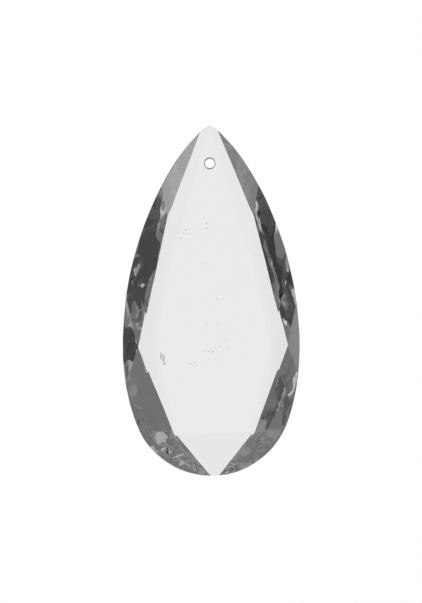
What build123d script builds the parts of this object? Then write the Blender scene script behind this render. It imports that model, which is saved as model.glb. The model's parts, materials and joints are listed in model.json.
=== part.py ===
from build123d import *
import math
import os
from collections import namedtuple

# A flat, pear-shaped drop of cut glass that hangs from one drilled hole.
# Millimetres and degrees. The origin is the centre of the hanging hole, halfway
# through the glass. +Z points up to the tip, +X to the right, and the front face
# looks along -Y.

# Blank: each side of its outline is a chain of five tangent arcs, named tip, neck,
# flank, shoulder and foot from the top down. The angles are where the outline faces,
# above level, as the tip meets the neck and the neck meets the flank. The neck, flank
# and foot radii follow.
length = 50.0
width = 25.3
thickness = 6.0
tip_above_hole = 5.3
widest_above_foot = 18.5
tip_radius = 1.35
neck_angle = 46.5
flank_angle = 30.5
shoulder_radius = 33.4

# Hanging hole, drilled from front to back, with a small chamfer at both ends
hole_diameter = 1.4
hole_chamfer = 0.12

# The drop was held slightly askew while its faces were ground, so the facets of both
# faces lean about the hole, with the foot end towards +X
pattern_lean = 0.5

tip_height = tip_above_hole
foot_height = tip_height - length
widest_height = foot_height + widest_above_foot
half_width = width / 2
half_thickness = thickness / 2


def drop_arcs():
    """Centre, radius and lower end of each arc on the right, from tip to foot."""
    tip_centre = Vector(0, tip_height - tip_radius)
    toward_neck = Vector(1, 0).rotate(Axis.Z, neck_angle)
    toward_flank = Vector(1, 0).rotate(Axis.Z, flank_angle)

    # The neck and flank radii are those that carry the outline from the end of the tip
    # arc to the widest point, where it is upright
    tip_end = tip_centre + toward_neck * tip_radius
    widest_point = Vector(half_width, widest_height)
    gap = widest_point - tip_end
    neck_turn = toward_neck - toward_flank
    flank_turn = Vector(1, 0) - toward_flank
    scale = flank_turn.cross(neck_turn).Z
    neck_radius = gap.cross(flank_turn).Z / scale
    flank_radius = gap.cross(neck_turn).Z / scale
    neck_centre = tip_end - toward_neck * neck_radius
    flank_centre = widest_point - Vector(flank_radius, 0)

    # The shoulder arc is upright there too, and the foot arc touches it inside, with its
    # centre on the centre line
    span = half_width**2 + widest_above_foot**2 - 2 * shoulder_radius * half_width
    foot_radius = span / (2 * (widest_above_foot - shoulder_radius))
    shoulder_centre = widest_point - Vector(shoulder_radius, 0)
    foot_centre = Vector(0, foot_height + foot_radius)
    toward_foot = (foot_centre - shoulder_centre).normalized()

    return (
        (tip_centre, tip_radius, tip_end),
        (neck_centre, neck_radius, neck_centre + toward_flank * neck_radius),
        (flank_centre, flank_radius, widest_point),
        (shoulder_centre, shoulder_radius, shoulder_centre + toward_foot * shoulder_radius),
        (foot_centre, foot_radius, Vector(0, foot_height)),
    )


def outline_x(height):
    """Distance from the centre line to the outline at a height."""
    for centre, radius, lower_end in drop_arcs():
        if height >= lower_end.Y:
            return centre.X + math.sqrt(radius**2 - (height - centre.Y) ** 2)


# A facet is a plane cut, made on both sides of the centre line. It crosses the face
# on a line through two points, each given by its height and its distance in from the
# outline, and it falls away from the face at the slope.
Facet = namedtuple("Facet", "upper upper_inset lower lower_inset slope")

# Back: steep bevels around one flat table, from the tip down. Each corner of the
# table has a height and the width of the bevel beside it. Each bevel has a rim: the
# glass left between it and the level of the front face, where it cuts deepest.
tip_corner = tip_height - 1.0
shoulder_corner = tip_height - 12.9
hip_corner = foot_height + 6.1
foot_corner = foot_height + 0.3
tip_bevel = 0.4
shoulder_bevel = 3.15
waist_bevel = 2.45
hip_bevel = 4.75
foot_bevel = 1.9
tip_rim = 4.1
side_rim = 2.9
waist_rim = 2.2
hip_rim = 2.1
foot_rim = 1.55
# The waist facets of both faces run upright, a little above and below their corner
reach = 1.0
waist_top = widest_height + reach
waist_end = widest_height - reach


def back_bevel(upper, upper_inset, lower, lower_inset, rim):
    """The facet through two corners of the table, as steep as its rim allows."""
    corner = Vector(outline_x(upper) - upper_inset, upper)
    edge = (Vector(outline_x(lower) - lower_inset, lower) - corner).normalized()
    samples = 40
    heights = [lower + (upper - lower) * step / samples for step in range(samples + 1)]
    deepest = max(edge.cross(Vector(outline_x(z), z) - corner).Z for z in heights)
    slope = math.degrees(math.atan2(thickness - rim, deepest))
    return Facet(upper, upper_inset, lower, lower_inset, slope)


back_bevels = (
    back_bevel(tip_corner, tip_bevel, shoulder_corner, shoulder_bevel, tip_rim),
    back_bevel(shoulder_corner, shoulder_bevel, widest_height, waist_bevel, side_rim),
    back_bevel(waist_top, waist_bevel, waist_end, waist_bevel, waist_rim),
    back_bevel(widest_height, waist_bevel, hip_corner, hip_bevel, hip_rim),
    back_bevel(hip_corner, hip_bevel, foot_corner, foot_bevel, foot_rim),
)

# Front: low crown facets that fall gently to the rim around a narrower table. The
# neck corner of that table stands out by the bow from a straight line between the
# tip and the waist.
waist_crown = 4.45
neck_corner = tip_height - 19.0
crown_bow = 0.7
crown_foot = foot_height + 6.1
crown_foot_width = 10.6
tip_crown = 1.3
neck_fall = 7.2
side_fall = 10.0
waist_fall = 17.0
hip_fall = 10.5
foot_fall = 5.5
crown_tip_x = outline_x(tip_corner) - tip_crown
crown_waist_x = half_width - waist_crown
share = (tip_corner - neck_corner) / (tip_corner - widest_height)
neck_corner_x = crown_tip_x + share * (crown_waist_x - crown_tip_x) + crown_bow
neck_crown = outline_x(neck_corner) - neck_corner_x
foot_crown = outline_x(crown_foot) - crown_foot_width / 2
crown_facets = (
    Facet(tip_corner, tip_crown, neck_corner, neck_crown, neck_fall),
    Facet(neck_corner, neck_crown, widest_height, waist_crown, side_fall),
    Facet(waist_top, waist_crown, waist_end, waist_crown, waist_fall),
    Facet(widest_height, waist_crown, crown_foot, foot_crown, hip_fall),
)


def facet_plane(origin, outward, facing, slope):
    """Plane of a cut, leaning with the pattern. Its normal points out of the glass."""
    tilt = math.radians(slope)
    normal = Vector(0, facing, 0) * math.cos(tilt) + outward.normalized() * math.sin(tilt)
    lean = (Axis.Y, -pattern_lean)
    return Plane(origin=origin.rotate(*lean), z_dir=normal.rotate(*lean))


with BuildPart() as crystal_drop:
    with BuildSketch(Plane.XZ):
        with BuildLine():
            start = Vector(0, tip_height)
            for centre, radius, end in drop_arcs():
                halfway = ((start + end) / 2 - centre).normalized() * radius
                ThreePointArc(start, centre + halfway, end)
                start = end
            mirror(about=Plane.YZ)
        make_face()
    extrude(amount=half_thickness, both=True)

    for facing, facets in ((1, back_bevels), (-1, crown_facets)):
        level = facing * half_thickness
        for facet in facets:
            for side in (-1, 1):
                upper_x = side * (outline_x(facet.upper) - facet.upper_inset)
                lower_x = side * (outline_x(facet.lower) - facet.lower_inset)
                upper = Vector(upper_x, level, facet.upper)
                edge = Vector(lower_x, level, facet.lower) - upper
                outward = Vector(0, side, 0).cross(edge)
                cut = facet_plane(upper, -outward, facing, facet.slope)
                split(bisect_by=cut, keep=Keep.BOTTOM)
    foot_edge = Vector(0, -half_thickness, crown_foot)
    foot_cut = facet_plane(foot_edge, Vector(0, 0, -1), -1, foot_fall)
    split(bisect_by=foot_cut, keep=Keep.BOTTOM)

    with BuildSketch(Plane.XZ):
        Circle(hole_diameter / 2)
    extrude(amount=half_thickness, both=True, mode=Mode.SUBTRACT)
    hole_rims = crystal_drop.edges(Select.LAST).filter_by(GeomType.CIRCLE)
    chamfer(hole_rims, hole_chamfer)

crystal_drop.part.label = "crystal_drop"
os.makedirs("parts", exist_ok=True)
export_step(crystal_drop.part, "parts/crystal_drop.step")
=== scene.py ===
import bmesh
import bpy
import json
import math
import random
from bisect import bisect
from collections import namedtuple
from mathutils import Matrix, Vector, noise


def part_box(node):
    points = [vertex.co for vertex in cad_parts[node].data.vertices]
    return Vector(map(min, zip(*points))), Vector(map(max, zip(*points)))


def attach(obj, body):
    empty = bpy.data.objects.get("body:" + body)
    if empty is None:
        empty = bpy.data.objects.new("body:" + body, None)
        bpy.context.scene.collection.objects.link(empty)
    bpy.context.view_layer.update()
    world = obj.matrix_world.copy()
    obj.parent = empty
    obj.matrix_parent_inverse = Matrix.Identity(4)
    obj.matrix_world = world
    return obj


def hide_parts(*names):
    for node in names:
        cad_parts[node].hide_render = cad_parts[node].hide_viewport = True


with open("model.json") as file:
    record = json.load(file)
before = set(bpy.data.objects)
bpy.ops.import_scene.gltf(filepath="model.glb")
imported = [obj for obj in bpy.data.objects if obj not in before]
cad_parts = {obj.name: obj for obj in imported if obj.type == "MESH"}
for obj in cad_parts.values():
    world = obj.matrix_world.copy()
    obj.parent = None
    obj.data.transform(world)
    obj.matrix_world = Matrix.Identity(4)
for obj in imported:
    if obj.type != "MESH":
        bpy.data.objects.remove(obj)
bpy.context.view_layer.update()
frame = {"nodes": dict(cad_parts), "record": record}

# Metres, in the frame of the CAD model: the drop hangs from the hole at the origin,
# its tip points up along +Z and its front looks along -Y.
MM = 0.001
drop_low, drop_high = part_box("crystal_drop")
drop_length = drop_high.z - drop_low.z
half_thickness = (drop_high.y - drop_low.y) / 2
hole_radius = frame["record"]["mounts"][0]["dims"]["r_mm"] * MM
hole_chamfer = half_thickness - frame["record"]["mounts"][0]["dims"]["length_mm"] / 2 * MM

# Picture: a tall frame 1.727 drops high, seen square on through a long lens
frame_height = 1.7273 * drop_length
picture_centre = Vector((0.02, 0, -19.77)) * MM
camera_distance = 1.4
camera_roll = math.radians(0.45)

# Ground and polished glass: facet edges are worn round, and facets are a little wavy
edge_wear = 0.05 * MM
wear_angle = math.radians(18)
cell = 0.45 * MM
ripples = ((5.0 * MM, 0.07 * MM), (1.7 * MM, 0.022 * MM))
ripple_fade = 0.8 * MM
crease_angle = math.radians(4)

# Vertices nearer than the weld are one vertex, and faces that meet flatter than the angle
# are one facet
weld = 0.0001 * MM
coplanar_angle = math.radians(0.05)

# The ripple's noise_vector takes its offsets from the noise module's own seed
random.seed(7)
noise.seed_set(7)


def new_object(name, mesh):
    made = bpy.data.objects.new(name, mesh)
    bpy.context.scene.collection.objects.link(made)
    return made


def flat(vector):
    """The same vector seen from the front, as a pair of x and z."""
    return Vector((vector.x, vector.z))


# Glass body --------------------------------------------------------------------

def is_wall(face):
    return abs(face.normal.y) < 0.01


def is_table(face):
    return abs(face.normal.y) > 0.99999


def undrilled_solid():
    """The CAD drop with its hole filled in, as whole flat facets and a round wall."""
    solid = bmesh.new()
    solid.from_mesh(frame["nodes"]["crystal_drop"].data)
    bmesh.ops.remove_doubles(solid, verts=solid.verts, dist=weld)
    drill = 1.5 * (hole_radius + hole_chamfer)
    bore = []
    for face in solid.faces:
        if all(flat(vert.co).length < drill for vert in face.verts) and not is_table(face):
            bore.append(face)
    bmesh.ops.delete(solid, geom=bore, context="FACES")
    rims = [edge for edge in solid.edges if edge.is_boundary]
    bmesh.ops.holes_fill(solid, edges=rims, sides=0)
    bmesh.ops.recalc_face_normals(solid, faces=solid.faces)
    bmesh.ops.dissolve_limit(
        solid, angle_limit=coplanar_angle, verts=solid.verts, edges=solid.edges
    )
    return solid


def bearing(point):
    """Direction of a point from the middle of the drop, clockwise from the tip."""
    return math.atan2(point.x, point.y - (drop_low.z + drop_high.z) / 2)


def outline_points(solid, spacing):
    """Corners of the wall, in order round the outline and at least spacing apart."""
    corners = [flat(vert.co) for face in solid.faces if is_wall(face) for vert in face.verts]
    chosen = []
    for corner in sorted(corners, key=bearing):
        if not chosen or (corner - chosen[-1]).length > spacing:
            chosen.append(corner)
    return chosen


def bend(first, second, third):
    """Curvature of the circle through three points of the outline."""
    before, after = second - first, third - second
    return -2 * before.cross(after) / (before.length * after.length * (third - first).length)


def span_at(outline, point):
    """The stretch of outline beside a point: its ends, outward direction and depth."""
    place = bisect(outline, bearing(point), key=bearing)
    start, end = outline[place - 1], outline[place % len(outline)]
    chord = (end - start).normalized()
    outward = Vector((-chord.y, chord.x))
    return place, start, end, outward, (start - point).dot(outward)


def round_wall(solid, corners, knots):
    """Curve the wall between its corners, and keep the facets beside it flat."""
    for vert in solid.verts:
        point = flat(vert.co)
        depth = span_at(corners, point)[-1]
        if depth > 2 * edge_wear:
            continue
        place, start, end, outward, knot_depth = span_at(knots, point)
        chord = end - start
        along = (point - start).dot(chord) / chord.length_squared
        beyond = knots[(place + 1) % len(knots)]
        curve = bend(knots[place - 2], start, end) + bend(start, end, beyond)
        bulge = along * (1 - along) * chord.length_squared * curve / 4
        shift = outward * (bulge + knot_depth - depth)
        # A corner on a sloping facet slides along it, so that the facet stays flat
        normals = [face.normal for face in vert.link_faces]
        facet = max(normals, key=lambda normal: abs(normal.y))
        if 0.5 < abs(facet.y) < 0.9999:
            vert.co.y -= (facet.x * shift.x + facet.z * shift.y) / facet.y
        vert.co.x += shift.x
        vert.co.z += shift.y


def wear_edges(solid):
    """Round the steeper edges over the worn width."""
    worn = [edge for edge in solid.edges if edge.calc_face_angle(0) > wear_angle]
    bmesh.ops.bevel(
        solid, geom=worn, offset=edge_wear, segments=2, profile=0.5,
        affect="EDGES", clamp_overlap=True,
    )


def cut_into_cells(solid):
    """Divide everything but the two flat tables into cells of one size."""
    for axis in range(3):
        low = drop_low[axis]
        count = int((drop_high[axis] - low) / cell)
        for step in range(1, count + 1):
            place = Vector()
            place[axis] = low + step * cell
            direction = Vector()
            direction[axis] = 1
            faces = [face for face in solid.faces if not is_table(face)]
            edges = dict.fromkeys(edge for face in faces for edge in face.edges)
            verts = dict.fromkeys(vert for face in faces for vert in face.verts)
            bmesh.ops.bisect_plane(
                solid, geom=[*verts, *edges, *faces], dist=0.002 * MM,
                plane_co=place, plane_no=direction,
            )


def ripple(place):
    """How far the grinding left a point of the glass from its true place."""
    shift = Vector()
    for wavelength, depth in ripples:
        shift += depth * noise.noise_vector(place / wavelength)
    below_face = min(1, (half_thickness - abs(place.y)) / ripple_fade)
    shift.y *= below_face * below_face * (3 - 2 * below_face)
    return shift


def warp(solid):
    """Ripple the whole surface, without leaving the box of the CAD drop."""
    for vert in solid.verts:
        moved = vert.co + ripple(vert.co)
        for axis in range(3):
            moved[axis] = min(max(moved[axis], drop_low[axis]), drop_high[axis])
        vert.co = moved


def crease(solid):
    """Smooth within each facet, with a crease at every real edge."""
    solid.normal_update()
    for face in solid.faces:
        face.smooth = not is_table(face)
    for edge in solid.edges:
        edge.smooth = edge.calc_face_angle(0) < crease_angle


# Hole, chips and pits -------------------------------------------------------------

Chip = namedtuple("Chip", "x z face radius depth")
# Places in millimetres from the hole, seen from the front; the face is -1 at the front
chips = (
    Chip(-6.95, -27.8, -1, 0.34, 0.12),
    Chip(-6.7, -28.5, -1, 0.2, 0.08),
    Chip(-7.2, -27.2, -1, 0.14, 0.06),
    Chip(-0.55, -8.6, -1, 0.11, 0.05),
    Chip(-0.5, -9.3, -1, 0.09, 0.04),
    Chip(-5.1, -1.2, 1, 0.3, 0.14),
    Chip(-5.4, -0.3, 1, 0.22, 0.1),
    Chip(-4.75, -1.9, 1, 0.2, 0.1),
    Chip(7.9, -36.6, 1, 0.26, 0.12),
    Chip(7.6, -37.5, 1, 0.2, 0.1),
)
# Clusters of pits: the middle of each, how far it spreads and how many it holds
Cluster = namedtuple("Cluster", "x z spread_x spread_z count")
clusters = (
    Cluster(-3.6, -10.4, 1.1, 1.3, 7),
    Cluster(0.3, -26.6, 2.2, 0.8, 12),
    Cluster(-2.6, -28.2, 0.8, 0.6, 4),
    Cluster(0, -21.0, 7.0, 14.0, 10),
)
# Radii of the pits, their depth as a share of that, the least distance between two of
# them, and the furthest that one lies from the centre line
pit_sizes = (0.04, 0.085)
pit_depth = 0.6
pit_gap = 0.5
pit_reach = 4.6
# How far the rim of the hole is broken back at most
hole_break = 0.07 * MM


def hole_tool(tools):
    """Drill with a flare at each end, a little chipped where it broke through."""
    flare = 0.3 * MM
    inner = half_thickness - hole_chamfer
    stations = (
        (-half_thickness - flare, hole_radius + hole_chamfer + flare),
        (-inner, hole_radius),
        (inner, hole_radius),
        (half_thickness + flare, hole_radius + hole_chamfer + flare),
    )
    turns = 72
    rings = []
    for y, radius in stations:
        ring = []
        for turn in range(turns):
            angle = 2 * math.pi * turn / turns
            toward = Vector((math.cos(angle), 0, math.sin(angle)))
            broken = hole_break * noise.noise(toward * 2.2 + Vector((0, y / MM, 5)))
            reach = radius + (abs(broken) if radius > hole_radius else 0)
            ring.append(tools.verts.new(toward * reach + Vector((0, y, 0))))
        rings.append(ring)
    for lower, upper in zip(rings, rings[1:]):
        for turn in range(turns):
            after = (turn + 1) % turns
            tools.faces.new((lower[turn], lower[after], upper[after], upper[turn]))
    tools.faces.new(rings[0])
    tools.faces.new(rings[-1])


def chip_tool(tools, chip, subdivisions):
    """A rough, flattened pebble set into the glass."""
    made = bmesh.ops.create_icosphere(tools, subdivisions=subdivisions, radius=1)
    centre = Vector((chip.x * MM, chip.face * half_thickness, chip.z * MM))
    shape_seed = Vector((chip.x, chip.z, 3))
    for vert in made["verts"]:
        rough = 1 + 0.45 * noise.noise(vert.co * 1.3 + shape_seed)
        scale = Vector((chip.radius, chip.depth, chip.radius * 1.3)) * MM
        vert.co = centre + Vector(a * b for a, b in zip(vert.co * rough, scale))


def scattered_pits():
    """Small round pits in the front face, none of them touching another or a chip."""
    pits = []
    for cluster in clusters:
        for _ in range(cluster.count):
            x = random.gauss(cluster.x, cluster.spread_x / 2)
            z = random.gauss(cluster.z, cluster.spread_z / 2)
            radius = random.uniform(*pit_sizes)
            others = (*pits, *chips)
            clear = all(math.hypot(x - other.x, z - other.z) > pit_gap for other in others)
            if clear and abs(x) < pit_reach:
                pits.append(Chip(x, z, -1, radius, radius * pit_depth))
    return pits


def carve(drop):
    """Cut the hole, chips and pits out of the drop, with a ground finish inside."""
    tools = bmesh.new()
    hole_tool(tools)
    for chip in chips:
        chip_tool(tools, chip, 3)
    for pit in scattered_pits():
        chip_tool(tools, pit, 2)
    bmesh.ops.recalc_face_normals(tools, faces=tools.faces)
    for face in tools.faces:
        face.material_index = 1
    mesh = bpy.data.meshes.new("carving")
    tools.to_mesh(mesh)
    tools.free()
    carving = new_object("carving", mesh)
    cut = drop.modifiers.new("carve", "BOOLEAN")
    cut.operation = "DIFFERENCE"
    cut.solver = "EXACT"
    cut.use_self = True
    cut.object = carving
    evaluated = drop.evaluated_get(bpy.context.evaluated_depsgraph_get())
    carved = bpy.data.meshes.new_from_object(evaluated)
    drop.modifiers.clear()
    solid = bmesh.new()
    solid.from_mesh(carved)
    bpy.data.objects.remove(carving)
    crease(solid)
    solid.to_mesh(carved)
    solid.free()
    drop.data = carved
    carved.name = drop.name


def build_drop():
    """One piece of glass from the CAD drop, which it replaces."""
    solid = undrilled_solid()
    corners = outline_points(solid, 0.001 * MM)
    knots = outline_points(solid, 0.5 * MM)
    wear_edges(solid)
    cut_into_cells(solid)
    solid.normal_update()
    round_wall(solid, corners, knots)
    warp(solid)
    mesh = bpy.data.meshes.new("glass_drop")
    solid.to_mesh(mesh)
    solid.free()
    drop = new_object("glass_drop", mesh)
    mesh.materials.append(polished_glass())
    mesh.materials.append(ground_glass())
    carve(drop)
    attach(drop, "root")
    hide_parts("crystal_drop")


# Glass ---------------------------------------------------------------------------

def glass(name, roughness):
    """Material, its nodes and its shader, with the values both finishes share."""
    material = bpy.data.materials.new(name)
    material.use_nodes = True
    tree = material.node_tree
    shader = tree.nodes["Principled BSDF"]
    shader.inputs["Base Color"].default_value = (0.965, 0.965, 0.965, 1)
    shader.inputs["Transmission Weight"].default_value = 1
    shader.inputs["Roughness"].default_value = roughness
    shader.inputs["IOR"].default_value = 1.52
    return material, tree, shader


def texture(tree, kind, scale, stretch=(1, 1, 1), turn=(0, 0, 0), detail=2.0):
    """A noise or cell texture in object space, with a size per metre."""
    coordinates = tree.nodes.new("ShaderNodeTexCoord")
    mapping = tree.nodes.new("ShaderNodeMapping")
    mapping.inputs["Scale"].default_value = stretch
    mapping.inputs["Rotation"].default_value = [math.radians(angle) for angle in turn]
    made = tree.nodes.new(kind)
    made.inputs["Scale"].default_value = scale
    if "Detail" in made.inputs:
        made.inputs["Detail"].default_value = detail
    tree.links.new(coordinates.outputs["Object"], mapping.inputs[0])
    tree.links.new(mapping.outputs[0], made.inputs["Vector"])
    return made.outputs[0]


def between(tree, value, low, high, start=0.0, end=1.0):
    """Map a value from low..high to start..end, held at both ends."""
    ramp = tree.nodes.new("ShaderNodeMapRange")
    tree.links.new(value, ramp.inputs["Value"])
    for socket, number in zip(ramp.inputs[1:5], (low, high, start, end)):
        socket.default_value = number
    return ramp.outputs[0]


def product(tree, first, second):
    made = tree.nodes.new("ShaderNodeMath")
    made.operation = "MULTIPLY"
    tree.links.new(first, made.inputs[0])
    tree.links.new(second, made.inputs[1])
    return made.outputs[0]


def bump(tree, shader, height, distance, strength, under=None):
    made = tree.nodes.new("ShaderNodeBump")
    made.inputs["Distance"].default_value = distance
    made.inputs["Strength"].default_value = strength
    tree.links.new(height, made.inputs["Height"])
    if under:
        tree.links.new(under, made.inputs["Normal"])
    tree.links.new(made.outputs[0], shader.inputs["Normal"])
    return made.outputs[0]


def polished_glass():
    """Polished facets: faint smears, hairline scratches and dust-fine pits."""
    material, tree, shader = glass("clear_glass", 0.0)
    smears = texture(tree, "ShaderNodeTexNoise", 260, detail=4)
    tree.links.new(between(tree, smears, 0.45, 0.75, 0.0, 0.035), shader.inputs["Roughness"])
    patches = texture(tree, "ShaderNodeTexNoise", 180)
    worn = between(tree, patches, 0.40, 0.56)
    hairlines = texture(tree, "ShaderNodeTexNoise", 120, (90, 90, 1), (0, 24, 0))
    scratches = product(tree, between(tree, hairlines, 0.70, 0.76), worn)
    dust = texture(tree, "ShaderNodeTexVoronoi", 5200)
    pits = product(tree, between(tree, dust, 0.16, 0.06), worn)
    scratched = bump(tree, shader, scratches, 0.004 * MM, 0.5)
    bump(tree, shader, pits, 0.006 * MM, 0.5, scratched)
    return material


def ground_glass():
    """The drilled wall and the broken glass in the chips: a fine grey grain."""
    material, tree, shader = glass("ground_glass", 0.25)
    grain = texture(tree, "ShaderNodeTexNoise", 9000, detail=4)
    tree.links.new(between(tree, grain, 0.3, 0.7, 0.12, 0.4), shader.inputs["Roughness"])
    bump(tree, shader, grain, 0.01 * MM, 0.6)
    return material


# Studio ------------------------------------------------------------------------

# Soft panels around the drop, in degrees: azimuth from +Y towards +X, and elevation.
# A panel with a negative strength is a black card, which takes light away. The first
# two are behind the drop and fill its table, the next ones stand round the sides, and
# the last three are below, high up and overhead.
Panel = namedtuple("Panel", "azimuth elevation half_width half_height soft strength")
surround = 0.17
panels = (
    Panel(0, 0, 13, 8, 5, 0.58),
    Panel(2, -2, 24, 13, 12, 0.12),
    Panel(29, -14, 10, 9, 4, 0.17),
    Panel(-29, -14, 10, 9, 4, 0.04),
    Panel(29, -17, 11, 5, 1.5, 0.30),
    Panel(-29, -17, 11, 5, 1.5, 0.36),
    Panel(48, -12, 8, 14, 4, 0.35),
    Panel(-48, -12, 8, 14, 4, 0.30),
    Panel(-66, -1, 8, 13, 3, 0.08),
    Panel(60, 0, 8, 10, 2, -0.13),
    Panel(75, 0, 4, 12, 2, 0.20),
    Panel(91, 2, 6, 9, 3, 0.40),
    Panel(-91, 2, 6, 9, 3, 0.40),
    Panel(105, -27, 13, 11, 3, -0.12),
    Panel(-112, -30, 22, 14, 3, -0.14),
    Panel(128, -37, 16, 12, 3, -0.13),
    Panel(143, -14, 8, 8, 6, 0.42),
    Panel(-93, 25, 8, 5, 2, 0.34),
    Panel(92, 26, 4, 4, 2, 0.12),
    Panel(65, 27, 8, 5, 3, -0.10),
    Panel(-55, 48, 6, 4, 2, 0.26),
    Panel(56, 47, 6, 3, 2, 0.12),
    Panel(-43, 32, 8, 4, 2, -0.08),
    Panel(-155, -33, 8, 7, 3, -0.12),
    Panel(180, 0, 9, 8, 3, 0.60),
    Panel(0, -78, 180, 24, 6, 0.50),
    Panel(0, 64, 180, 9, 5, 0.10),
    Panel(0, 90, 180, 12, 6, 0.35),
)
floor_drop = 23 * MM
floor_radius = 0.15
overhead_size = 0.6
overhead_height = 0.6
overhead_watts = 5


def studio_world():
    """White backdrop for the camera, and the panels for rays that meet the glass."""
    world = bpy.data.worlds.new("studio")
    bpy.context.scene.world = world
    world.use_nodes = True
    tree = world.node_tree
    tree.nodes.clear()

    def node(kind, **values):
        made = tree.nodes.new(kind)
        for key, value in values.items():
            setattr(made, key, value)
        return made

    def maths(operation, *values):
        made = node("ShaderNodeMath", operation=operation)
        for socket, value in zip(made.inputs, values):
            if isinstance(value, (int, float)):
                socket.default_value = value
            else:
                tree.links.new(value, socket)
        return made.outputs[0]

    def falloff(distance, half, soft):
        ramp = node("ShaderNodeMapRange", interpolation_type="SMOOTHSTEP")
        tree.links.new(distance, ramp.inputs["Value"])
        ramp.inputs["From Min"].default_value = half + soft
        ramp.inputs["From Max"].default_value = half - soft
        return ramp.outputs[0]

    coordinates = node("ShaderNodeTexCoord")
    parts = node("ShaderNodeSeparateXYZ")
    tree.links.new(coordinates.outputs["Generated"], parts.inputs[0])
    x, y, z = parts.outputs
    azimuth = maths("MULTIPLY", maths("ARCTAN2", x, y), 180 / math.pi)
    elevation = maths("MULTIPLY", maths("ARCSINE", z), 180 / math.pi)
    light = surround
    for panel in panels:
        turn = maths("ABSOLUTE", maths("SUBTRACT", azimuth, panel.azimuth))
        turn = maths("MINIMUM", turn, maths("SUBTRACT", 360, turn))
        rise = maths("ABSOLUTE", maths("SUBTRACT", elevation, panel.elevation))
        across = falloff(turn, panel.half_width, panel.soft)
        upward = falloff(rise, panel.half_height, panel.soft)
        light = maths("MULTIPLY_ADD", maths("MULTIPLY", across, upward), panel.strength, light)
    surroundings = node("ShaderNodeBackground")
    tree.links.new(light, surroundings.inputs["Strength"])
    surroundings.inputs["Color"].default_value = (1, 1, 1, 1)
    backdrop = node("ShaderNodeBackground")
    backdrop.inputs["Color"].default_value = (1, 1, 1, 1)
    path = node("ShaderNodeLightPath")
    mix = node("ShaderNodeMixShader")
    output = node("ShaderNodeOutputWorld")
    tree.links.new(path.outputs["Is Camera Ray"], mix.inputs[0])
    tree.links.new(surroundings.outputs[0], mix.inputs[1])
    tree.links.new(backdrop.outputs[0], mix.inputs[2])
    tree.links.new(mix.outputs[0], output.inputs[0])


def build_camera():
    data = bpy.data.cameras.new("camera")
    camera = new_object("camera", data)
    data.sensor_width = 36
    data.lens = data.sensor_width * camera_distance / frame_height
    data.clip_start = 0.01
    data.clip_end = 10
    camera.location = picture_centre + Vector((0, -camera_distance, 0))
    camera.rotation_euler = (math.pi / 2, camera_roll, 0)
    bpy.context.scene.camera = camera


def build_floor():
    """Pale disc under the drop, lit from above. The glass doesn't see it."""
    shape = bmesh.new()
    bmesh.ops.create_circle(shape, cap_ends=True, segments=128, radius=floor_radius)
    mesh = bpy.data.meshes.new("floor")
    shape.to_mesh(mesh)
    shape.free()
    floor = new_object("floor", mesh)
    floor.location.z = drop_low.z - floor_drop
    material = bpy.data.materials.new("pale_floor")
    material.use_nodes = True
    shader = material.node_tree.nodes["Principled BSDF"]
    shader.inputs["Base Color"].default_value = (0.85, 0.85, 0.85, 1)
    shader.inputs["Roughness"].default_value = 0.9
    mesh.materials.append(material)
    data = bpy.data.lights.new("overhead", "AREA")
    data.size = overhead_size
    data.energy = overhead_watts
    light = new_object("overhead", data)
    light.location = (0, 0, overhead_height)
    for seen in (floor, light):
        seen.visible_glossy = False
        seen.visible_transmission = False


build_camera()
build_drop()
build_floor()
studio_world()
scene = bpy.context.scene
scene.view_settings.view_transform = "Standard"
scene.cycles.max_bounces = 24
scene.cycles.transmission_bounces = 24
scene.cycles.glossy_bounces = 16
